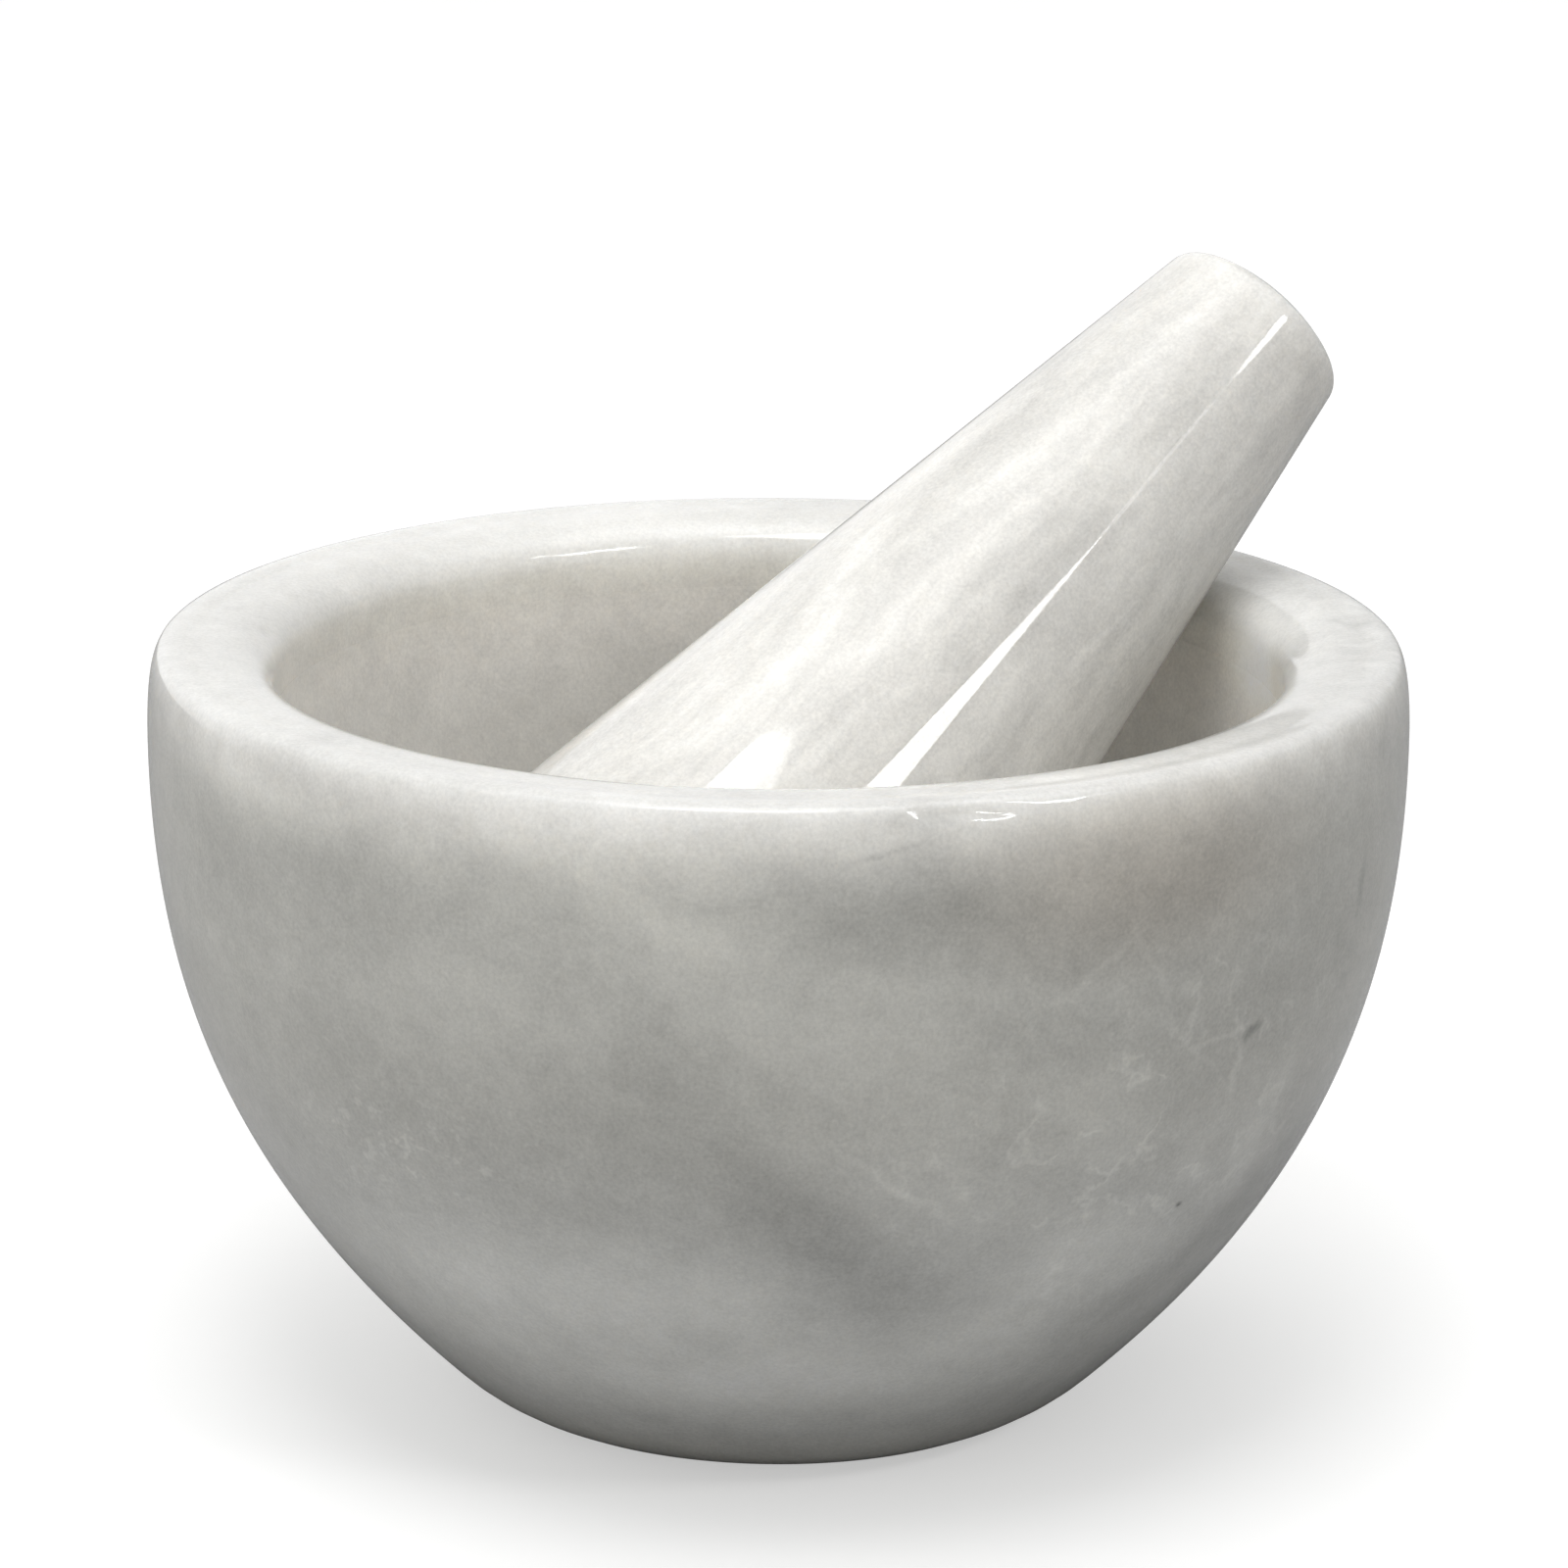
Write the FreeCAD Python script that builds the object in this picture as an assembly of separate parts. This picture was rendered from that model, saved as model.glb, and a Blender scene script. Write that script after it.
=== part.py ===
"""A marble mortar with its pestle leaning in it, each turned from one piece of stone.

Millimetres, +Z up.  The origin is the centre of the mortar's flat foot, on the
mortar's axis.  Both pieces are solids of revolution: the mortar about +Z, the
pestle about its own axis, which leans over the lip towards +X and +Y.
"""
import FreeCAD, Part

import math
import os

from FreeCAD import Vector

# Mortar: the driving sizes
BOWL_RADIUS = 50.0           # outside, at the widest circle
BOWL_HEIGHT = 62.0           # foot to lip
WIDEST_HEIGHT = 54.7         # height of the widest circle
FOOT_RADIUS = 18.3           # flat face that the mortar stands on
FOOT_ROUND_RADIUS = 28.0     # where the foot's rounded edge meets the side
FOOT_ROUND_HEIGHT = 4.0
SIDE_SLOPE = 44.5            # degrees above level, where the side leaves the foot
SIDE_PULL_LOW = 23.4         # how far the side keeps that slope
SIDE_PULL_HIGH = 19.0        # how far the side keeps upright below the widest circle
LIP_OUTER_ROUND = 1.4        # the lip's outer edge turns in by this much
LIP_INNER_ROUND_WIDTH = 6.0  # the lip's inner edge, across and down
LIP_INNER_ROUND_DEPTH = 3.3
MOUTH_RADIUS = 40.0          # the opening, at its narrowest
FLOOR_THICKNESS = 14.0       # stone under the bottom of the bowl
ROUND_FULLNESS = 0.65        # how far both lip curves bulge towards their corners

# Pestle: the driving sizes
PESTLE_LENGTH = 94.7         # overall, along its axis
HEAD_RADIUS = 19.6           # the grinding end is part of a ball
HANDLE_END_RADIUS = 8.6      # the top of the tapered handle
HANDLE_END_DOME = 2.3        # rise of the domed top
HANDLE_EDGE_ROUND = 1.3      # rounded edge around the domed top

# How the pestle rests: on the bowl's wall and on the lip, a hair clear of both
LEAN_AZIMUTH = 35.3          # degrees from +X towards +Y
LEAN_RISE = 38.4             # degrees that the pestle's axis rises above level
HEAD_OUT = 8.8               # head's centre, on the far side of the bowl's axis
HEAD_UP = 36.42              # head's centre, above the foot


def at(radius, height):
    """A point of a half section in the XZ plane."""
    return Vector(radius, 0.0, height)


def line(start, end):
    return Part.LineSegment(start, end).toShape()


def curve(*poles):
    """A smooth curve from the first point to the last, pulled by those between."""
    bezier = Part.BezierCurve()
    bezier.setPoles(list(poles))
    return bezier.toShape()


def rounded(start, corner, end, fullness):
    """A quarter round from start to end that bulges towards their corner."""
    return curve(
        start,
        start + (corner - start) * fullness,
        end + (corner - end) * fullness,
        end,
    )


def turned(edges):
    """The solid that a closed half section sweeps about the Z axis."""
    face = Part.Face(Part.Wire(edges))
    return face.revolve(Vector(0, 0, 0), Vector(0, 0, 1), 360)


def mortar():
    """A deep round bowl with a small flat foot and a thick rounded lip."""
    slope = math.radians(SIDE_SLOPE)
    along_side = at(math.cos(slope), math.sin(slope))
    foot_edge = at(FOOT_RADIUS, 0)
    foot_top = at(FOOT_ROUND_RADIUS, FOOT_ROUND_HEIGHT)
    foot_corner = at(FOOT_ROUND_RADIUS - FOOT_ROUND_HEIGHT / math.tan(slope), 0)
    widest = at(BOWL_RADIUS, WIDEST_HEIGHT)
    lip_out = at(BOWL_RADIUS - LIP_OUTER_ROUND, BOWL_HEIGHT)
    lip_in = at(MOUTH_RADIUS + LIP_INNER_ROUND_WIDTH, BOWL_HEIGHT)
    mouth_height = BOWL_HEIGHT - LIP_INNER_ROUND_DEPTH
    mouth = at(MOUTH_RADIUS, mouth_height)
    floor = at(0, FLOOR_THICKNESS)

    # the bowl is half an ellipsoid, a little deeper than it is wide
    hollow = Part.Ellipse(floor, mouth, at(0, mouth_height))
    hollow_arc = Part.Arc(hollow, hollow.parameter(floor), hollow.parameter(mouth))

    return turned([
        line(at(0, 0), foot_edge),
        curve(foot_edge, foot_corner, foot_top),
        curve(
            foot_top,
            foot_top + along_side * SIDE_PULL_LOW,
            widest - at(0, SIDE_PULL_HIGH),
            widest,
        ),
        rounded(widest, at(BOWL_RADIUS, BOWL_HEIGHT), lip_out, ROUND_FULLNESS),
        line(lip_out, lip_in),
        rounded(lip_in, at(MOUTH_RADIUS, BOWL_HEIGHT), mouth, ROUND_FULLNESS),
        hollow_arc.toShape(),
        line(floor, at(0, 0)),
    ])


def upright_pestle():
    """The pestle standing on its head, with the head's centre at the origin."""
    end_height = PESTLE_LENGTH - HANDLE_END_DOME - HEAD_RADIUS
    handle_end = at(HANDLE_END_RADIUS, end_height)
    top = at(0, end_height + HANDLE_END_DOME)
    bottom = at(0, -HEAD_RADIUS)

    # the handle's side is the line from its end that just touches the ball
    reach = math.hypot(HANDLE_END_RADIUS, end_height)
    taper = math.asin(HEAD_RADIUS / reach) - math.atan2(HANDLE_END_RADIUS, end_height)
    side_start = at(HEAD_RADIUS * math.cos(taper), HEAD_RADIUS * math.sin(taper))
    head_side = at(HEAD_RADIUS * math.cos(taper / 2 - math.pi / 4),
                   HEAD_RADIUS * math.sin(taper / 2 - math.pi / 4))

    # the domed top is a shallow cap of a larger ball
    dome_radius = (HANDLE_END_RADIUS ** 2 + HANDLE_END_DOME ** 2) / (2 * HANDLE_END_DOME)
    half_angle = math.asin(HANDLE_END_RADIUS / dome_radius) / 2
    dome_centre = top - at(0, dome_radius)
    dome_middle = dome_centre + at(math.sin(half_angle), math.cos(half_angle)) * dome_radius

    solid = turned([
        Part.Arc(bottom, head_side, side_start).toShape(),
        line(side_start, handle_end),
        Part.Arc(handle_end, dome_middle, top).toShape(),
        line(top, bottom),
    ])
    edge_at_top = [edge for edge in solid.Edges if is_handle_edge(edge, end_height)]
    return solid.makeFillet(HANDLE_EDGE_ROUND, edge_at_top).Solids[0]


def is_handle_edge(edge, height):
    """True for the circle between the handle's side and its domed top."""
    box = edge.BoundBox
    return box.ZMin > height - 0.01 and box.ZMax < height + 0.01 and box.XLength > HANDLE_END_RADIUS


def pestle():
    """The pestle leaning on the lip, with its head in the bowl."""
    azimuth = math.radians(LEAN_AZIMUTH)
    head_centre = Vector(
        -HEAD_OUT * math.cos(azimuth),
        -HEAD_OUT * math.sin(azimuth),
        HEAD_UP,
    )
    tip_over = FreeCAD.Rotation(Vector(0, 1, 0), 90.0 - LEAN_RISE)
    turn_round = FreeCAD.Rotation(Vector(0, 0, 1), LEAN_AZIMUTH)
    solid = upright_pestle()
    solid.Placement = FreeCAD.Placement(head_centre, turn_round * tip_over)
    return solid


PIECES = {
    "mortar": mortar,
    "pestle": pestle,
}

os.makedirs("parts", exist_ok=True)
for name, make in PIECES.items():
    make().exportStep(os.path.join("parts", name + ".step"))
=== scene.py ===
"""A polished marble mortar with its pestle leaning in it, on a pale studio floor.

Lengths are in metres, in the CAD's frame: +Z is up, the bowl's axis is the Z axis, and the
camera looks along +Y.  A place on the bowl is given by its turn, in degrees from the front
(-Y) towards the right, and its height.
"""

import math
from collections import namedtuple

import bpy
import numpy as np
from mathutils import Matrix, Vector


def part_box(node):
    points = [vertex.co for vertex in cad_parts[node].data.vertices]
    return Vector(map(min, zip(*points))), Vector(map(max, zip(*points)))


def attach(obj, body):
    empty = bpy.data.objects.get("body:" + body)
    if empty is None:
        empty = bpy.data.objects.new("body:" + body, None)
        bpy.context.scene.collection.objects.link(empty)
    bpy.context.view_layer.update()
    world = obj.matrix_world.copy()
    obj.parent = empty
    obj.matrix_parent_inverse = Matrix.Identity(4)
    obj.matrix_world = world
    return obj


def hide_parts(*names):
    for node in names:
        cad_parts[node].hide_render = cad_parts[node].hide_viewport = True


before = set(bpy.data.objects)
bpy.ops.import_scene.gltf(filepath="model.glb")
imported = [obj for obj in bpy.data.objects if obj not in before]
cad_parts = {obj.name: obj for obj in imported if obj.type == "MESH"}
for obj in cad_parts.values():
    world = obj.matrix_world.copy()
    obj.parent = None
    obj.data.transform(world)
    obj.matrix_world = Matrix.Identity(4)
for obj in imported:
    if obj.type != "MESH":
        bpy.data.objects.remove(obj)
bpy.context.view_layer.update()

MM = 0.001

# Bowl
BOWL_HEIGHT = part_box("mortar")[1].z
LIP_BAND = 5 * MM             # the top of the bowl, where the outline bends most
LIP_STEP = 0.25 * MM          # between rings of the mesh, in the lip band
SIDE_STEP = 1.35 * MM         # and elsewhere
LEAST_GAP = 0.4 * MM          # corners of the CAD outline nearer than this count as one
AROUND_BOWL = 512             # corners in each ring
HONED_FROM = 7 * MM           # the inner wall is fully honed from this far below the lip

# Both pieces are finished by hand, and are slightly uneven
WAVE_LENGTH = 30 * MM
BOWL_WAVE = 0.02 * MM
PESTLE_WAVE = 0.01 * MM

# Pestle: a ball with a tapered handle on it
HEAD_RADIUS = 19.6 * MM
HANDLE_END_RADIUS = 8.6 * MM
HANDLE_END_DOME = 2.3 * MM
HANDLE_EDGE_ROUND = 1.3 * MM
LEAN_AZIMUTH = math.radians(35.3)
LEAN_RISE = math.radians(38.4)
PESTLE_STEP = 0.7 * MM        # between rings of the mesh
EDGE_STEP = 0.2 * MM          # and round the edge of its domed top
AROUND_PESTLE = 288

# Camera
CAMERA_RISE = math.radians(16.0)
CAMERA_ROLL = math.radians(0.31)
CAMERA_DISTANCE = 428.4 * MM
CAMERA_LENS = 123.0
CAMERA_TARGET = Vector((0.45 * MM, 0.0, 49.7 * MM))


# ---------------------------------------------------------------- shapes

def chained(points, start):
    """The points in order along their curve, each followed by the nearest one left."""
    left = points.copy()
    here = start
    chain = []
    while len(left):
        nearest = np.argmin(np.hypot(*(left - here).T))
        if not chain or np.hypot(*(left[nearest] - here)) >= LEAST_GAP:
            here = left[nearest]
            chain.append(here)
        left = np.delete(left, nearest, axis=0)
    return np.array(chain)


def smooth_curve(points, step_at):
    """Points on a smooth curve through the given ones, step_at(point) apart."""
    gaps = np.hypot(*np.diff(points, axis=0).T)
    along = np.concatenate([[0.0], np.cumsum(gaps)])
    slope = np.gradient(points, along, axis=0)
    places = [0.0]
    while places[-1] < along[-1]:
        corner = points[np.searchsorted(along, places[-1], side="right") - 1]
        places.append(places[-1] + step_at(corner))
    places = np.array(places) * along[-1] / places[-1]
    cell = np.clip(np.searchsorted(along, places, side="right") - 1, 0, len(gaps) - 1)
    width = gaps[cell][:, None]
    t = (places - along[cell])[:, None] / width
    return (
        (2 * t**3 - 3 * t**2 + 1) * points[cell]
        + (t**3 - 2 * t**2 + t) * width * slope[cell]
        + (3 * t**2 - 2 * t**3) * points[cell + 1]
        + (t**3 - t**2) * width * slope[cell + 1]
    )


def bowl_outline():
    """The bowl's half section, as (radius, height).

    It goes from the foot's middle, up the outside, over the lip and down to the floor's middle.
    """
    corners = corners_of(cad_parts["mortar"].data)
    section = np.stack([np.hypot(corners[:, 0], corners[:, 1]), corners[:, 2]], axis=1)
    section = np.unique(np.round(section, 6), axis=0)
    chain = chained(section, section[section[:, 0].argmin()])
    chain[0, 0] = 0.0
    chain = np.vstack([chain, [0.0, 0.0]])
    curve = smooth_curve(chain, lambda p: LIP_STEP if p[1] > BOWL_HEIGHT - LIP_BAND else SIDE_STEP)
    return curve[::-1]


def arc(centre, radius, start, end, step):
    """Points on an arc of a half section, between two angles above the radial direction."""
    count = max(3, math.ceil(abs(end - start) * radius / step))
    angles = np.linspace(start, end, count)
    return np.stack([centre[0] + radius * np.cos(angles), centre[1] + radius * np.sin(angles)], axis=1)


def pestle_outline(length):
    """The pestle's half section, as (radius, distance above the ball's centre), from the head's tip."""
    end = length - HANDLE_END_DOME - HEAD_RADIUS
    reach = math.hypot(HANDLE_END_RADIUS, end)
    taper = math.asin(HEAD_RADIUS / reach) - math.atan2(HANDLE_END_RADIUS, end)
    outward = np.array([math.cos(taper), math.sin(taper)])
    upward = np.array([-math.sin(taper), math.cos(taper)])
    dome_radius = (HANDLE_END_RADIUS**2 + HANDLE_END_DOME**2) / (2 * HANDLE_END_DOME)
    dome_centre = np.array([0.0, end + HANDLE_END_DOME - dome_radius])

    # the rounded edge's centre is its radius inside both the handle's side and the dome
    foot = outward * (HEAD_RADIUS - HANDLE_EDGE_ROUND) - dome_centre
    climb = foot @ upward
    edge_centre = foot + dome_centre + upward * (
        math.sqrt((dome_radius - HANDLE_EDGE_ROUND) ** 2 - foot @ foot + climb**2) - climb
    )
    dome_start = math.atan2(*(edge_centre - dome_centre)[::-1])

    side_start = outward * HEAD_RADIUS
    side_end = edge_centre + outward * HANDLE_EDGE_ROUND
    side = np.linspace(side_start, side_end, math.ceil(math.dist(side_start, side_end) / PESTLE_STEP))
    return np.vstack([
        arc((0, 0), HEAD_RADIUS, -math.pi / 2, taper, PESTLE_STEP),
        side[1:-1],
        arc(edge_centre, HANDLE_EDGE_ROUND, taper, dome_start, EDGE_STEP),
        arc(dome_centre, dome_radius, dome_start, math.pi / 2, PESTLE_STEP)[1:],
    ])


def turned(name, outline, around):
    """A closed mesh made by turning an outline about the Z axis, where both of its ends lie."""
    rings = outline[1:-1]
    angles = np.arange(around) * 2 * math.pi / around
    grid = np.empty((len(rings), around, 3))
    grid[:, :, 0] = rings[:, :1] * np.cos(angles)
    grid[:, :, 1] = rings[:, :1] * np.sin(angles)
    grid[:, :, 2] = rings[:, 1:]
    corners = np.vstack([grid.reshape(-1, 3), [0, 0, outline[0, 1]], [0, 0, outline[-1, 1]]])
    first, last = len(corners) - 2, len(corners) - 1

    here = np.arange(around)
    beside = (here + 1) % around
    faces = []
    for row in range(len(rings) - 1):
        low, high = row * around, (row + 1) * around
        faces += np.stack([low + here, low + beside, high + beside, high + here], axis=1).tolist()
    top = (len(rings) - 1) * around
    faces += np.stack([np.full(around, first), beside, here], axis=1).tolist()
    faces += np.stack([np.full(around, last), top + here, top + beside], axis=1).tolist()

    mesh = bpy.data.meshes.new(name)
    mesh.from_pydata(corners.tolist(), [], faces)
    mesh.shade_smooth()
    piece = bpy.data.objects.new(name, mesh)
    bpy.context.scene.collection.objects.link(piece)
    return piece


def vectors_of(mesh, kind):
    """A mesh's vectors of one kind, "co" or "normal": one row for each corner."""
    values = np.empty(len(mesh.vertices) * 3, np.float32)
    mesh.vertices.foreach_get(kind, values)
    return values.reshape(-1, 3).astype(float)


def corners_of(mesh):
    return vectors_of(mesh, "co")


def move_corners(mesh, places):
    mesh.vertices.foreach_set("co", places.astype(np.float32).ravel())
    mesh.update()


def push(mesh, heights):
    """Moves each corner along its normal."""
    move_corners(mesh, corners_of(mesh) + vectors_of(mesh, "normal") * heights[:, None])


def level_foot(mesh):
    """Keeps every corner on or above the floor."""
    places = corners_of(mesh)
    places[:, 2] = np.maximum(places[:, 2], 0)
    move_corners(mesh, places)


def gentle_waves(places, wavelength, height, seed, count=7):
    """The slight unevenness of a surface finished by hand."""
    draw = np.random.default_rng(seed)
    ways = draw.normal(size=(count, 3))
    ways /= np.linalg.norm(ways, axis=1)[:, None]
    phases = draw.uniform(0, 2 * math.pi, count)
    waves = np.sin(places @ ways.T * 2 * math.pi / wavelength + phases)
    return height * waves.mean(axis=1) * math.sqrt(count)


# A small chip out of the lip, in degrees and millimetres: its middle, its reach round the lip and
# across it, and its depth
Chip = namedtuple("Chip", "turn radius height reach_round reach_across depth")

LIP_CHIPS = [
    Chip(15.0, 49.3, 61.4, 3.0, 0.55, 0.28),
    Chip(12.4, 49.0, 61.85, 0.8, 0.45, 0.20),
    Chip(19.2, 49.4, 61.15, 1.5, 0.5, 0.18),
    Chip(264, 41.2, 60.9, 1.3, 0.6, 0.18),
]


def chip_depths(places, chip):
    """How deep the chip is at each place, fading out from its middle."""
    away = math.radians(chip.turn - 90)
    outward = np.array([math.cos(away), math.sin(away), 0])
    level = np.array([-math.sin(away), math.cos(away), 0])
    offsets = places - outward * chip.radius * MM - np.array([0, 0, chip.height * MM])
    round_lip = offsets @ level / (chip.reach_round * MM)
    across = np.hypot(offsets @ outward, offsets[:, 2]) / (chip.reach_across * MM)
    return chip.depth * MM * np.exp(-(round_lip**4) - across**2)


def make_bowl():
    outline = bowl_outline()
    piece = turned("mortar_stone", outline, AROUND_BOWL)
    mesh = piece.data
    places = corners_of(mesh)
    heights = gentle_waves(places, WAVE_LENGTH, BOWL_WAVE, seed=3)
    heights -= heights.max()      # inward everywhere, so the bowl doesn't grow
    for chip in LIP_CHIPS:
        heights -= chip_depths(places, chip)
    push(mesh, heights)
    level_foot(mesh)

    # 0 outside and on the lip, rising to 1 down the inner wall
    ring_heights = outline[1:-1, 1]
    inside = np.clip((BOWL_HEIGHT - ring_heights) / HONED_FROM, 0, 1) ** 2
    inside[:ring_heights.argmax() + 1] = 0
    inside = np.concatenate([np.repeat(inside, AROUND_BOWL), [0.0, 1.0]])
    mesh.attributes.new("inside", "FLOAT", "POINT").data.foreach_set("value", inside)
    return piece, outline


def make_pestle():
    axis = Vector((
        math.cos(LEAN_RISE) * math.cos(LEAN_AZIMUTH),
        math.cos(LEAN_RISE) * math.sin(LEAN_AZIMUTH),
        math.sin(LEAN_RISE),
    ))
    along = corners_of(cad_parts["pestle"].data) @ np.array(axis)
    length = along.max() - along.min()

    # the head reaches lowest, furthest left and furthest forward, so its centre is a radius inside
    head_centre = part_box("pestle")[0] + Vector((HEAD_RADIUS, HEAD_RADIUS, HEAD_RADIUS))

    piece = turned("pestle_stone", pestle_outline(length), AROUND_PESTLE)
    heights = gentle_waves(corners_of(piece.data), WAVE_LENGTH, PESTLE_WAVE, seed=5)
    push(piece.data, heights - heights.max())
    stand = Matrix.Translation(head_centre) @ axis.to_track_quat("Z", "Y").to_matrix().to_4x4()
    piece.data.transform(stand)
    return piece, stand


# ---------------------------------------------------------------- materials

class Graph:
    """Short ways to add nodes to a node tree."""

    def __init__(self, tree):
        self.tree = tree
        tree.nodes.clear()

    def node(self, kind, inputs=None, **settings):
        made = self.tree.nodes.new("ShaderNode" + kind)
        for name, value in settings.items():
            setattr(made, name, value)
        for socket, value in (inputs or {}).items():
            self.put(made.inputs[socket], value)
        return made

    def put(self, socket, value):
        if isinstance(value, bpy.types.NodeSocket):
            self.tree.links.new(value, socket)
        else:
            socket.default_value = value

    def math(self, operation, *values):
        made = self.node("Math", operation=operation)
        for socket, value in zip(made.inputs, values):
            self.put(socket, value)
        return made.outputs[0]

    def vector(self, operation, *values, scale=None):
        made = self.node("VectorMath", operation=operation)
        for socket, value in zip(made.inputs, values):
            self.put(socket, value)
        if scale is not None:
            self.put(made.inputs["Scale"], scale)
        return made.outputs[0]

    def noise(self, where, size, detail=3.0, roughness=0.5, distortion=0.0):
        """Soft random shapes about as large as size, from 0 to 1 about a middle of 0.5."""
        return self.node("TexNoise", {
            "Vector": where,
            "Scale": 1 / size,
            "Detail": detail,
            "Roughness": roughness,
            "Distortion": distortion,
        })

    def span(self, value, low, high, to_low=0.0, to_high=1.0):
        """The value's place between low and high, eased, spread from to_low to to_high."""
        made = self.node("MapRange", {
            "Value": value,
            "From Min": low,
            "From Max": high,
            "To Min": to_low,
            "To Max": to_high,
        }, interpolation_type="SMOOTHSTEP")
        return made.outputs[0]

    def blend(self, amount, first, second):
        made = self.node("Mix", data_type="RGBA")
        self.put(made.inputs["Factor"], amount)
        self.put(made.inputs["A"], first)
        self.put(made.inputs["B"], second)
        return made.outputs["Result"]


# A mark in the stone, in millimetres and degrees: its middle, its size along the surface, how far
# its long way leans from level, and how much lighter or darker it makes the stone.
Mark = namedtuple("Mark", "turn height length width lean tone")

# Broad soft clouds, the dark ones first, with one broad patch of painted shade on the right of the body
BOWL_CLOUDS_AND_PAINTED_SHADE = [
    Mark(27, 52.5, 38, 12, 3, -0.20),
    Mark(37, 54.5, 16, 7, 14, -0.07),
    Mark(9, 54.5, 18, 7, -6, -0.15),
    # painted shade: a broad darkening of the right side of the body
    Mark(48, 43.0, 34, 28, -20, -0.15),
    Mark(24, 42.5, 12, 7, 0, -0.12),
    Mark(-11, 40.0, 18, 12, -36, -0.11),
    Mark(-22, 35.0, 34, 12, -4, -0.07),
    Mark(-42, 37.0, 24, 14, -10, -0.09),
    Mark(-50, 51.0, 26, 10, 0, -0.10),
    Mark(-30, 54.0, 30, 9, -12, -0.08),
    Mark(2, 29.5, 15, 9, -40, -0.16),
    Mark(9, 24.5, 18, 9, -42, -0.10),
    Mark(52, 20.5, 22, 7, 35, -0.14),
    Mark(64, 52.0, 20, 12, 0, -0.10),
    Mark(24, 34.5, 10, 8, 30, -0.07),
    Mark(-22, 21.5, 44, 12, 2, 0.17),
    Mark(-10, 20.5, 22, 9, -14, 0.12),
    Mark(-40, 18.0, 30, 12, 4, 0.14),
    Mark(2, 13.0, 44, 12, -3, 0.26),
    Mark(28, 21.0, 18, 12, 30, 0.22),
    Mark(44, 27.5, 20, 12, 40, 0.07),
    Mark(53, 33.5, 12, 5, 68, 0.10),
    Mark(24, 33.0, 22, 9, 16, 0.07),
    Mark(-7, 53.2, 9, 3, -26, 0.10),
    Mark(-16, 56.0, 16, 4, -24, 0.08),
    Mark(17, 48.0, 26, 3, -6, 0.06),
    Mark(-10, 59.5, 50, 6, 0, 0.15),
    Mark(-50, 58.5, 34, 6, -4, 0.20),
    Mark(34, 60.5, 50, 4, 0, 0.06),
    Mark(-22, 12.0, 44, 8, 0, 0.12),
]

# Thin veins, scratches and pits, and painted shade in the small chip at the front of the lip
BOWL_VEINS_AND_CHIP_SHADE = [
    Mark(11.5, 32.0, 13, 0.8, -38, 0.10),
    Mark(33.3, 48.0, 13, 0.6, -62, 0.05),
    Mark(41, 39.0, 12, 0.6, -46, 0.06),
    Mark(42.5, 40.6, 9, 0.6, 0, 0.11),
    Mark(46.5, 40.2, 2.5, 1.0, 10, -0.3),
    Mark(45, 37.5, 7, 0.9, 88, 0.13),
    Mark(28, 48.5, 7, 0.7, 38, 0.08),
    Mark(63, 48.7, 5, 1.2, 88, -0.14),
    Mark(9, 58.8, 6, 0.5, 10, -0.10),
    # painted shade in the small chip at the front of the lip
    Mark(12.4, 61.2, 6, 2, 0, -0.10),
    Mark(43.5, 26.3, 0.6, 0.6, 0, -0.6),
]

FAR_SIDE = (72, 288)          # between these turns, the bowl's clouds are scattered at random
FAR_CLOUDS = 16


def far_side_clouds():
    """Clouds like the front's, scattered round the back of the bowl."""
    draw = np.random.default_rng(11)
    marks = []
    for turn in np.linspace(*FAR_SIDE, FAR_CLOUDS):
        height = draw.uniform(16, 56)
        length = draw.uniform(16, 40)
        width = length * draw.uniform(0.3, 0.5)
        lean = draw.uniform(-45, -5)
        tone = draw.choice([-1, 1]) * draw.uniform(0.10, 0.20)
        marks.append(Mark(turn, height, length, width, lean, tone))
    return marks


BEDDING = (0.0, math.radians(35), 0.0)    # the stone's layers slope down to the right
LAYER_SCALE = (0.5, 0.7, 1.6)             # and are thin and wide
MARK_SPREAD = 0.8             # a mark fades out this many of its lengths from its middle
CLOUD_DEPTH = 14 * MM         # how far clouds and veins go into the stone
VEIN_DEPTH = 5 * MM


def ball_mask(g, where, middle, half_sizes, turn=(0.0, 0.0, 0.0)):
    """1 at a place, fading to 0 at the surface of a stretched ball round it."""
    local = g.node("Mapping", {
        "Vector": where,
        "Location": middle,
        "Rotation": turn,
        "Scale": half_sizes,
    }, vector_type="TEXTURE").outputs["Vector"]
    ball = g.node("TexGradient", {"Vector": local}, gradient_type="SPHERICAL").outputs["Fac"]
    return g.span(ball, 0.0, 1.0)


def side_of_bowl(outline, turn, height):
    """A place on the bowl's outside, and axes there: X level along it, Y up it and Z out of it."""
    side = outline[:outline[:, 1].argmax() + 1]
    radius = np.interp(height, side[:, 1], side[:, 0])
    below = np.interp(height - MM, side[:, 1], side[:, 0])
    away = math.radians(turn - 90)
    outward = Vector((math.cos(away), math.sin(away), 0))
    level = Vector((-math.sin(away), math.cos(away), 0))
    up = (Vector((0, 0, MM)) + outward * (radius - below)).normalized()
    axes = Matrix((level, up, level.cross(up))).transposed()
    return outward * radius + Vector((0, 0, height)), axes


def patch_mask(g, where, outline, turn, height, half_sizes):
    """1 at a place on the bowl's outside, fading to 0 at half_sizes along, up and out from it."""
    middle, axes = side_of_bowl(outline, turn, height)
    return ball_mask(g, where, middle, half_sizes, axes.to_euler())


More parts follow.
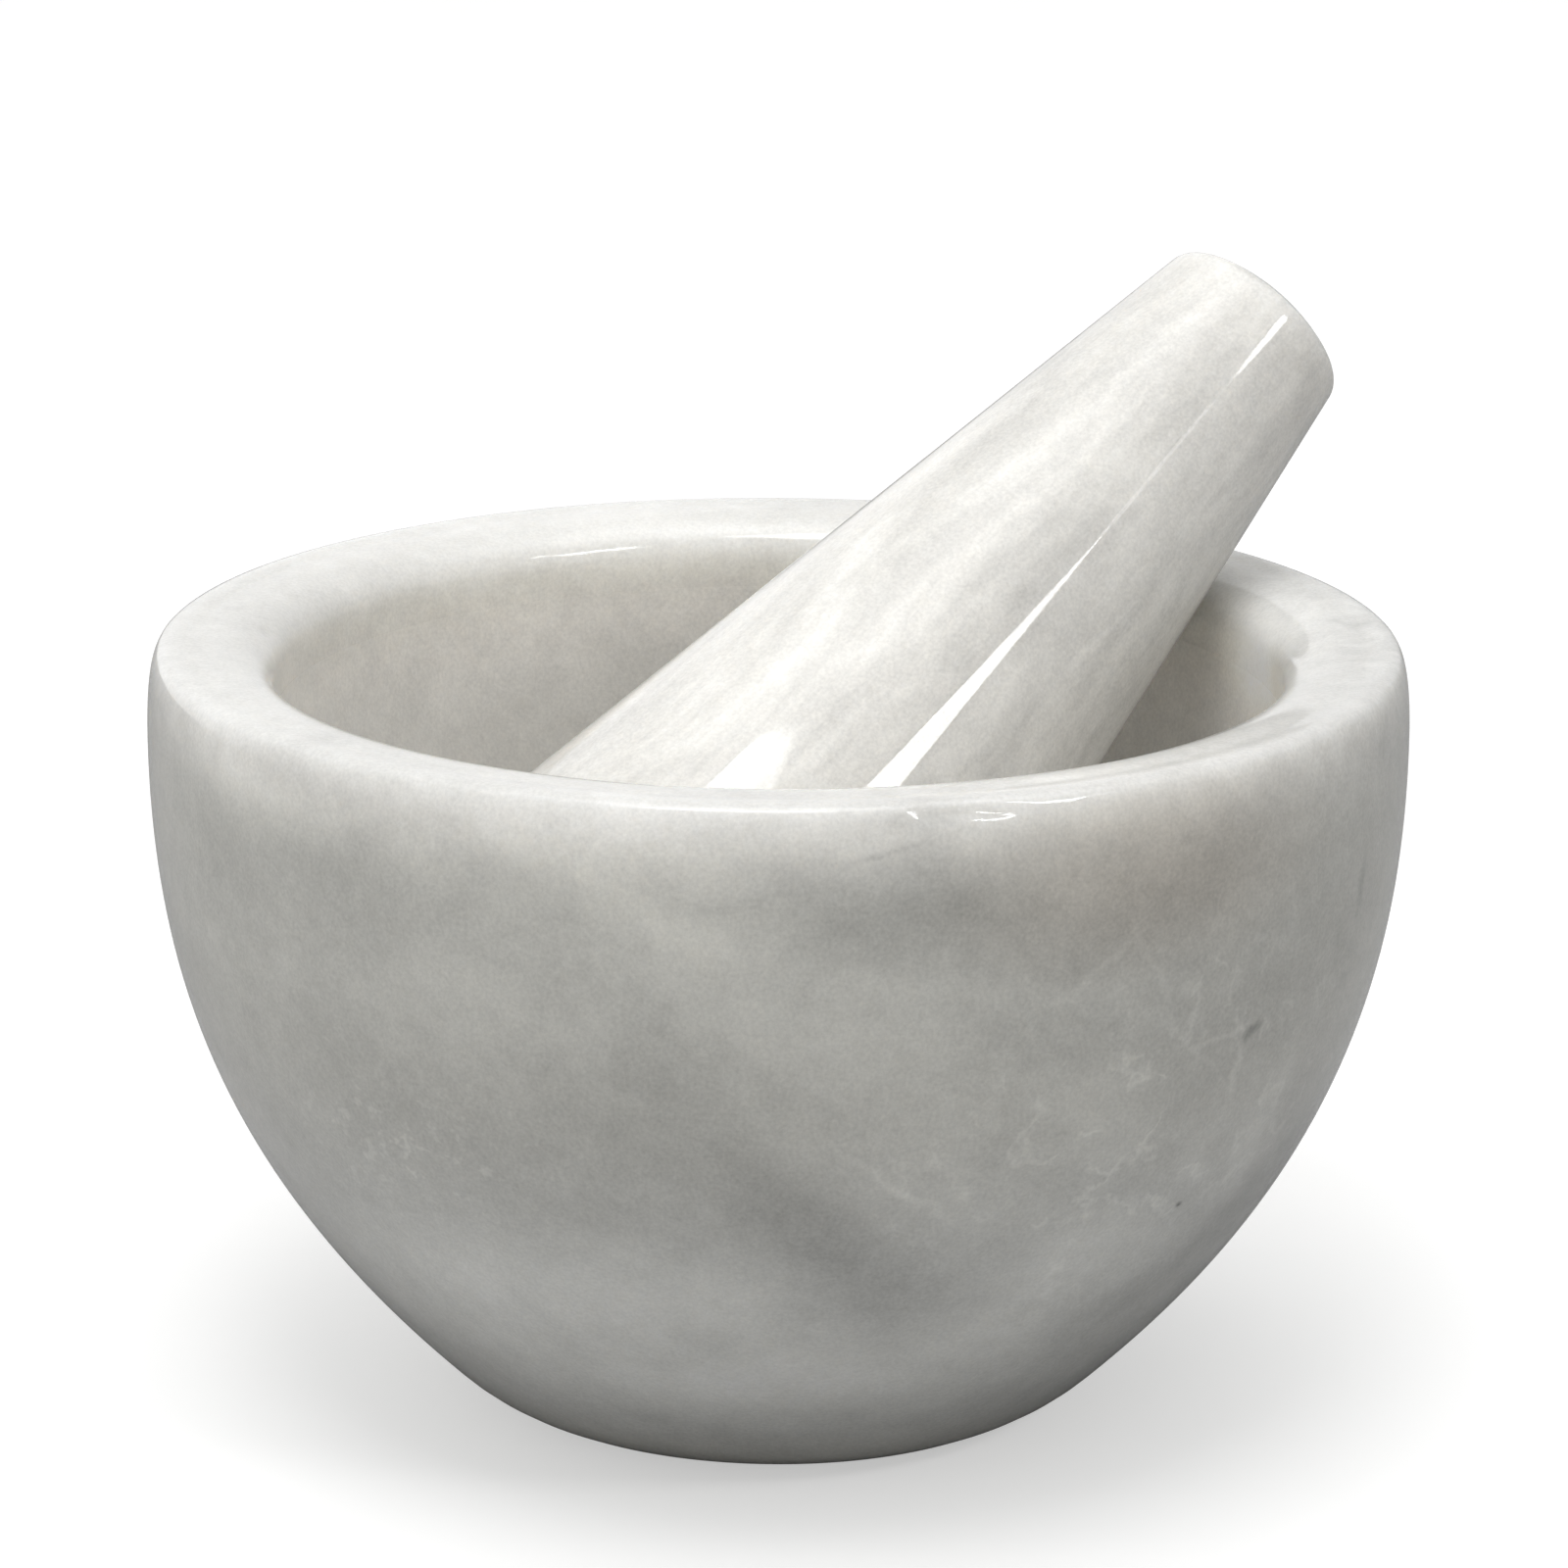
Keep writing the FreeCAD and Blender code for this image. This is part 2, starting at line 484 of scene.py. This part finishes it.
def add_marks(g, tone, where, outline, marks, depth):
    """The tone with the marks' own added to it."""
    for mark in marks:
        middle, axes = side_of_bowl(outline, mark.turn, mark.height * MM)
        turn = (axes @ Matrix.Rotation(math.radians(mark.lean), 3, "Z")).to_euler()
        half_sizes = (mark.length * MM * MARK_SPREAD, mark.width * MM * MARK_SPREAD, depth)
        mask = ball_mask(g, where, middle, half_sizes, turn)
        tone = g.math("MULTIPLY_ADD", mask, mark.tone, tone)
    return tone


def wandering(g, where, size, reach, detail=2.0):
    """The coordinates, bent about so that what they draw wanders by up to reach."""
    noise = g.noise(where, size, detail=detail).outputs["Color"]
    centred = g.vector("SUBTRACT", noise, (0.5, 0.5, 0.5))
    return g.vector("MULTIPLY_ADD", centred, (2 * reach,) * 3, where)


def centred_noise(g, where, size, amount, **settings):
    """Noise about 0, from -amount to amount."""
    value = g.noise(where, size, **settings).outputs["Fac"]
    return g.math("MULTIPLY", g.math("SUBTRACT", value, 0.5), 2 * amount)


MARBLE_IOR = 1.5
LIGHT_REACH = 6.0 * MM                    # how far light spreads inside the marble
LIGHT_REACH_BY_COLOUR = (1.0, 0.96, 0.9)


def stone_shader(g, base, roughness, height, bump_distance):
    bump = g.node("Bump", {"Height": height, "Strength": 1.0, "Distance": bump_distance})
    shader = g.node("BsdfPrincipled", {
        "Base Color": base,
        "Roughness": roughness,
        "IOR": MARBLE_IOR,
        "Subsurface Weight": 1.0,
        "Subsurface Radius": LIGHT_REACH_BY_COLOUR,
        "Subsurface Scale": LIGHT_REACH,
        "Normal": bump.outputs["Normal"],
    })
    g.node("OutputMaterial", {"Surface": shader.outputs["BSDF"]})


# The mortar's stone: how light it is before its patterns, and its colour from the foot up
BOWL_TONE = 0.965
FOOT_COLOUR = (0.665, 0.655, 0.605, 1.0)
LOW_COLOUR = (0.708, 0.708, 0.680, 1.0)
HIGH_COLOUR = (0.714, 0.708, 0.665, 1.0)
LIP_COLOUR = (0.714, 0.709, 0.685, 1.0)
BROWNISH_COLOUR = (0.735, 0.70, 0.635, 1.0)
DEEP_WALL_COLOUR = (0.68, 0.665, 0.628, 1.0)
HIGH_WALL_COLOUR = (0.85, 0.83, 0.79, 1.0)
POLISHED = 0.06               # the roughness of its outside
HONED_EXTRA = 0.3             # and what honing adds inside
BOWL_GRAIN_HEIGHT = 0.005 * MM
# painted light on the right of the inner wall: its middle, its reach and how much lighter it makes the
# stone
PAINTED_WALL_LIGHT_MIDDLE = Vector((39.3, 8.7, 57.5)) * MM
PAINTED_WALL_LIGHT_REACH = (9 * MM, 11 * MM, 8 * MM)
PAINTED_WALL_LIGHT_TONE = 0.30
# painted light: how much lighter the far side of the lip is made
FAR_LIP_PAINTED_LIGHT = 0.17


def pale_threads(g, where, outline):
    """What fine broken threads add to the tone, low on the right."""
    curly = wandering(g, where, size=3 * MM, reach=1.6 * MM, detail=3)
    lines = g.math("ABSOLUTE", centred_noise(g, curly, size=9 * MM, amount=0.5, detail=3, roughness=0.6))
    lines = g.span(lines, low=0.035, high=0.0, to_high=0.16)
    gaps = g.noise(where, size=2.5 * MM, detail=3, roughness=0.6).outputs["Fac"]
    threads = g.math("MULTIPLY", lines, g.span(gaps, low=0.42, high=0.6))
    low_right = patch_mask(g, where, outline, 38, 33 * MM, (36 * MM, 26 * MM, 26 * MM))
    return g.math("MULTIPLY", threads, low_right)


def lip_curls(g, where, outline):
    """What curls add to the tone, on the right of the lip."""
    curls = centred_noise(g, where, size=6 * MM, amount=0.30, detail=4, roughness=0.6, distortion=1.6)
    right_lip = patch_mask(g, where, outline, 93, 61.5 * MM, (42 * MM, 16 * MM, 16 * MM))
    return g.math("MULTIPLY", curls, right_lip)


def pale_flecks(g, where, outline):
    """What flecks add to the tone, low on the left."""
    flecks = g.noise(where, size=1.5 * MM, detail=2, roughness=0.6).outputs["Fac"]
    flecks = g.span(flecks, low=0.56, high=0.68, to_high=0.16)
    low_left = patch_mask(g, where, outline, -35, 32.5 * MM, (22 * MM, 10 * MM, 12 * MM))
    return g.math("MULTIPLY", flecks, low_left)


def bowl_patterns(g, where, outline):
    """How light the mortar's stone is at each place, about 1, with some painted light and shade in it,
    and the grain that is part of it.
    """
    layered = g.node("Mapping", {
        "Vector": where,
        "Rotation": BEDDING,
    }, vector_type="TEXTURE").outputs["Vector"]
    layered = wandering(g, layered, size=12 * MM, reach=3 * MM, detail=3)
    layered = g.vector("MULTIPLY", layered, LAYER_SCALE)
    cloudy = wandering(g, where, size=9 * MM, reach=2.2 * MM, detail=5)
    veined = wandering(g, where, size=4 * MM, reach=1.2 * MM)

    broad = centred_noise(g, layered, size=16 * MM, amount=0.15, detail=6, roughness=0.62)
    middling = centred_noise(g, where, size=5 * MM, amount=0.13, detail=5, roughness=0.65)
    fine = centred_noise(g, where, size=1.6 * MM, amount=0.08, detail=3, roughness=0.6)
    grain = centred_noise(g, where, size=0.3 * MM, amount=0.17, detail=2, roughness=0.6)
    tone = BOWL_TONE
    for noise in (broad, middling, fine, grain):
        tone = g.math("ADD", tone, noise)
    tone = add_marks(g, tone, cloudy, outline, BOWL_CLOUDS_AND_PAINTED_SHADE + far_side_clouds(), CLOUD_DEPTH)
    tone = add_marks(g, tone, veined, outline, BOWL_VEINS_AND_CHIP_SHADE, VEIN_DEPTH)
    for pattern in (pale_threads, lip_curls, pale_flecks):
        tone = g.math("ADD", tone, pattern(g, where, outline))

    # painted light: lighter on the right of the inner wall, where light falls past the pestle, and on
    # the far side of the lip
    place = g.node("SeparateXYZ", {"Vector": where})
    far = g.span(place.outputs["Y"], low=-5 * MM, high=45 * MM)
    near_lip = g.span(place.outputs["Z"], low=55 * MM, high=60 * MM)
    painted_wall_light = ball_mask(g, where, PAINTED_WALL_LIGHT_MIDDLE, PAINTED_WALL_LIGHT_REACH)
    tone = g.math("MULTIPLY_ADD", painted_wall_light, PAINTED_WALL_LIGHT_TONE, tone)
    tone = g.math("MULTIPLY_ADD", g.math("MULTIPLY", far, near_lip), FAR_LIP_PAINTED_LIGHT, tone)
    return tone, grain


def mortar_marble(outline):
    """Grey-white marble with soft clouds: polished outside, honed inside."""
    material = bpy.data.materials.new("mortar_marble")
    material.use_nodes = True
    g = Graph(material.node_tree)
    where = g.node("TexCoord").outputs["Object"]
    height = g.node("SeparateXYZ", {"Vector": where}).outputs["Z"]
    inside = g.node("Attribute", attribute_name="inside").outputs["Fac"]
    tone, grain = bowl_patterns(g, where, outline)

    wall = g.blend(g.span(height, low=42 * MM, high=58 * MM), DEEP_WALL_COLOUR, HIGH_WALL_COLOUR)
    side = g.blend(g.span(height, low=1 * MM, high=8 * MM), FOOT_COLOUR, LOW_COLOUR)
    side = g.blend(g.span(height, low=22 * MM, high=40 * MM), side, HIGH_COLOUR)
    side = g.blend(g.span(height, low=54 * MM, high=61 * MM), side, LIP_COLOUR)
    brownish = patch_mask(g, where, outline, 34, 54.5 * MM, (24 * MM, 9 * MM, 14 * MM))
    side = g.blend(brownish, side, BROWNISH_COLOUR)
    base = g.vector("SCALE", g.blend(inside, side, wall), scale=tone)
    roughness = g.math("MULTIPLY_ADD", inside, HONED_EXTRA, POLISHED)
    stone_shader(g, base, roughness, grain, BOWL_GRAIN_HEIGHT)
    return material


# The pestle's stone.  Its streaks' and its painted shade's middles and reaches are in its own frame,
# along its Z axis.
PESTLE_COLOUR = (0.755, 0.744, 0.712)
PESTLE_PALEST = 1.24          # the tone is kept under this
PESTLE_ROUGHNESS = 0.03
PESTLE_GRAIN_HEIGHT = 0.002 * MM
LONG_STREAKS = (1.0, 1.0, 0.14)
SHORT_STREAKS = (1.0, 1.0, 0.4)
PALE_STREAK_MIDDLE = (0.0, 17 * MM, 16 * MM)
PALE_STREAK_REACH = (10 * MM, 12 * MM, 38 * MM)
PALE_STREAK_TONE = 0.11
# painted shade along the pestle's right side and underside, where it is in shadow
PESTLE_PAINTED_SHADE_MIDDLE = (-15 * MM, -8 * MM, 30 * MM)
PESTLE_PAINTED_SHADE_REACH = (14 * MM, 14 * MM, 52 * MM)
PESTLE_PAINTED_SHADE_TONE = -0.11


def pestle_marble(stand):
    """Whiter marble, highly polished, with streaks along the pestle and painted shade on its shadowed
    right side.
    """
    material = bpy.data.materials.new("pestle_marble")
    material.use_nodes = True
    g = Graph(material.node_tree)
    own = g.node("Mapping", {
        "Vector": g.node("TexCoord").outputs["Object"],
        "Location": stand.to_translation(),
        "Rotation": stand.to_euler(),
    }, vector_type="TEXTURE").outputs["Vector"]
    bent = wandering(g, own, size=24 * MM, reach=4 * MM, detail=2)
    long_streaks = g.vector("MULTIPLY", bent, LONG_STREAKS)
    short_streaks = g.vector("MULTIPLY", bent, SHORT_STREAKS)

    streaks = centred_noise(g, long_streaks, size=3 * MM, amount=0.30, detail=5, roughness=0.64)
    broad = centred_noise(g, short_streaks, size=9 * MM, amount=0.20, detail=4)
    fine = centred_noise(g, own, size=1.6 * MM, amount=0.10, detail=3, roughness=0.6)
    grain = centred_noise(g, own, size=0.3 * MM, amount=0.18, detail=2, roughness=0.6)
    tone = 1.0
    for noise in (streaks, broad, fine, grain):
        tone = g.math("ADD", tone, noise)
    pale = ball_mask(g, bent, PALE_STREAK_MIDDLE, PALE_STREAK_REACH)
    tone = g.math("MULTIPLY_ADD", pale, PALE_STREAK_TONE, tone)
    # painted shade: darker along the pestle's shadowed right side and underside
    pestle_painted_shade = ball_mask(g, bent, PESTLE_PAINTED_SHADE_MIDDLE, PESTLE_PAINTED_SHADE_REACH)
    tone = g.math("MULTIPLY_ADD", pestle_painted_shade, PESTLE_PAINTED_SHADE_TONE, tone)
    base = g.vector("SCALE", PESTLE_COLOUR, scale=g.math("MINIMUM", tone, PESTLE_PALEST))
    stone_shader(g, base, PESTLE_ROUGHNESS, grain, PESTLE_GRAIN_HEIGHT)
    return material


# ---------------------------------------------------------------- studio

# Where the lights are seen in the polished pestle
HEAD_FRONT = Vector((-3.0, -25.0, 57.0)) * MM
HANDLE_MIDDLE = Vector((25.7, 4.2, 69.3)) * MM
HANDLE_TOP = Vector((37.5, 15.9, 80.5)) * MM

PANEL_DISTANCE = 0.9

# The overhead softbox, from the front of the pestle's head: its two edges along a line that runs
# from back left to front right, its two edges out in front of that line, and its height
OVERHEAD_ALONG = (-0.04, 0.35)
OVERHEAD_OUT = (0.105, 0.455)
OVERHEAD_HEIGHT = 0.9
OVERHEAD_TURN = math.radians(-45)
OVERHEAD_BRIGHTNESS = 6.0

# Broad soft glows of the studio's ceiling and walls
Glow = namedtuple("Glow", "azimuth elevation brightness tightness")

GLOWS = [
    Glow(0, 90, 3.1, 10),
    Glow(-135, 10, 1.16, 4),
    Glow(-45, 10, 0.25, 4),
    Glow(45, 10, 0.17, 4),
    Glow(90, 10, 0.58, 4),
    Glow(135, 10, 0.97, 4),
]

FLOOR_RADIUS = 4.0
FLOOR_SIDES = 64
PAPER_DARKER = (0.59, 0.59, 0.587, 1.0)
PAPER_LIGHTER = (0.61, 0.61, 0.607, 1.0)
PAPER_UNSEEN = (0.35, 0.35, 0.35, 1.0)    # its shade where it only lights the stone
PAPER_GLOW = 0.8


def direction(azimuth, elevation):
    """The way to something at an azimuth, from +X towards +Y, and an elevation, in degrees."""
    a, e = math.radians(azimuth), math.radians(elevation)
    return Vector((math.cos(e) * math.cos(a), math.cos(e) * math.sin(a), math.sin(e)))


def area_light(name, shape, width, depth, brightness, place):
    """A soft flat light, as bright to look at whatever its size."""
    data = bpy.data.lights.new(name, "AREA")
    data.shape = shape
    data.size = width
    data.size_y = depth
    data.energy = brightness * math.pi * width * depth
    light = bpy.data.objects.new(name, data)
    light.matrix_world = place
    bpy.context.scene.collection.objects.link(light)


def panel(name, seen_from, azimuth, elevation, tilt, width, depth, brightness, shape="RECTANGLE"):
    """A light in the given direction from a place, facing it, and tilted about the line between."""
    away = direction(azimuth, elevation)
    facing = (-away).to_track_quat("-Z", "Y").to_matrix().to_4x4()
    turn = Matrix.Rotation(math.radians(tilt), 4, "Z")
    place = Matrix.Translation(seen_from + away * PANEL_DISTANCE) @ facing @ turn
    area_light(name, shape, width, depth, brightness, place)


def key_lights():
    """A long panel on the right, a small one beyond its end, and one for the handle's top."""
    panel(
        "key_light", HANDLE_MIDDLE, azimuth=-42.8, elevation=34.3, tilt=-30,
        width=0.30, depth=0.125, brightness=11.5,
    )
    panel(
        "key_light_seam", HANDLE_MIDDLE, azimuth=-29.6, elevation=33.1, tilt=25,
        width=0.045, depth=0.044, brightness=2.6,
    )
    panel(
        "key_light_corner", HANDLE_TOP, azimuth=-26.9, elevation=33.8, tilt=23,
        width=0.047, depth=0.094, brightness=9.0, shape="ELLIPSE",
    )


def overhead_light():
    """A level softbox high in front, on the left."""
    width = OVERHEAD_ALONG[1] - OVERHEAD_ALONG[0]
    depth = OVERHEAD_OUT[1] - OVERHEAD_OUT[0]
    middle = Vector((sum(OVERHEAD_ALONG) / 2, -sum(OVERHEAD_OUT) / 2, OVERHEAD_HEIGHT))
    turn = Matrix.Rotation(OVERHEAD_TURN, 4, "Z")
    place = Matrix.Translation(HEAD_FRONT) @ turn @ Matrix.Translation(middle)
    area_light("overhead_light", "RECTANGLE", width, depth, OVERHEAD_BRIGHTNESS, place)


def paper_material():
    """Pale paper, whose light on the stone is held back, as by the dark surround of a product table."""
    material = bpy.data.materials.new("floor_paper")
    material.use_nodes = True
    g = Graph(material.node_tree)
    where = g.node("TexCoord").outputs["Object"]
    fibre = g.noise(where, size=40 * MM, detail=3).outputs["Fac"]
    paper = g.blend(fibre, PAPER_DARKER, PAPER_LIGHTER)
    seen = g.node("LightPath").outputs["Is Camera Ray"]
    lit_from_above = g.node("BsdfDiffuse", {"Color": g.blend(seen, PAPER_UNSEEN, paper)})
    glow = g.math("MULTIPLY", seen, PAPER_GLOW)
    lit_through = g.node("Emission", {"Color": paper, "Strength": glow})
    both = g.node("AddShader", {0: lit_from_above.outputs["BSDF"], 1: lit_through.outputs["Emission"]})
    g.node("OutputMaterial", {"Surface": both.outputs["Shader"]})
    return material


def make_floor():
    mesh = bpy.data.meshes.new("floor")
    angles = np.arange(FLOOR_SIDES) * 2 * math.pi / FLOOR_SIDES
    rim = [(FLOOR_RADIUS * math.cos(a), FLOOR_RADIUS * math.sin(a), 0.0) for a in angles]
    mesh.from_pydata(rim, [], [tuple(range(FLOOR_SIDES))])
    mesh.materials.append(paper_material())
    floor = bpy.data.objects.new("floor", mesh)
    bpy.context.scene.collection.objects.link(floor)


def make_world():
    world = bpy.data.worlds.new("studio")
    bpy.context.scene.world = world
    world.use_nodes = True
    g = Graph(world.node_tree)
    view = g.node("TexCoord").outputs["Generated"]
    strength = 0.0
    for glow in GLOWS:
        middle = direction(glow.azimuth, glow.elevation)
        facing = g.node("VectorMath", {0: view, 1: middle}, operation="DOT_PRODUCT").outputs["Value"]
        spread = g.math("POWER", g.math("MAXIMUM", facing, 0.0), glow.tightness)
        strength = g.math("MULTIPLY_ADD", spread, glow.brightness, strength)
    background = g.node("Background", {"Color": (1.0, 1.0, 1.0, 1.0), "Strength": strength})
    g.node("OutputWorld", {"Surface": background.outputs["Background"]})


def make_camera():
    data = bpy.data.cameras.new("camera")
    data.lens = CAMERA_LENS
    data.sensor_width = 36.0
    data.clip_start = 0.01
    data.clip_end = 20.0
    camera = bpy.data.objects.new("camera", data)
    back = Vector((0, -math.cos(CAMERA_RISE), math.sin(CAMERA_RISE)))
    facing = (-back).to_track_quat("-Z", "Y").to_matrix().to_4x4()
    place = Matrix.Translation(CAMERA_TARGET + back * CAMERA_DISTANCE)
    camera.matrix_world = place @ facing @ Matrix.Rotation(CAMERA_ROLL, 4, "Z")
    bpy.context.scene.collection.objects.link(camera)
    bpy.context.scene.camera = camera


# ---------------------------------------------------------------- the scene

bowl, outline = make_bowl()
pestle, stand = make_pestle()
bowl.data.materials.append(mortar_marble(outline))
pestle.data.materials.append(pestle_marble(stand))

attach(bowl, "mortar")
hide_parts("mortar")
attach(pestle, "pestle")
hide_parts("pestle")

make_floor()
make_world()
overhead_light()
key_lights()
make_camera()
bpy.context.scene.view_settings.view_transform = "Standard"
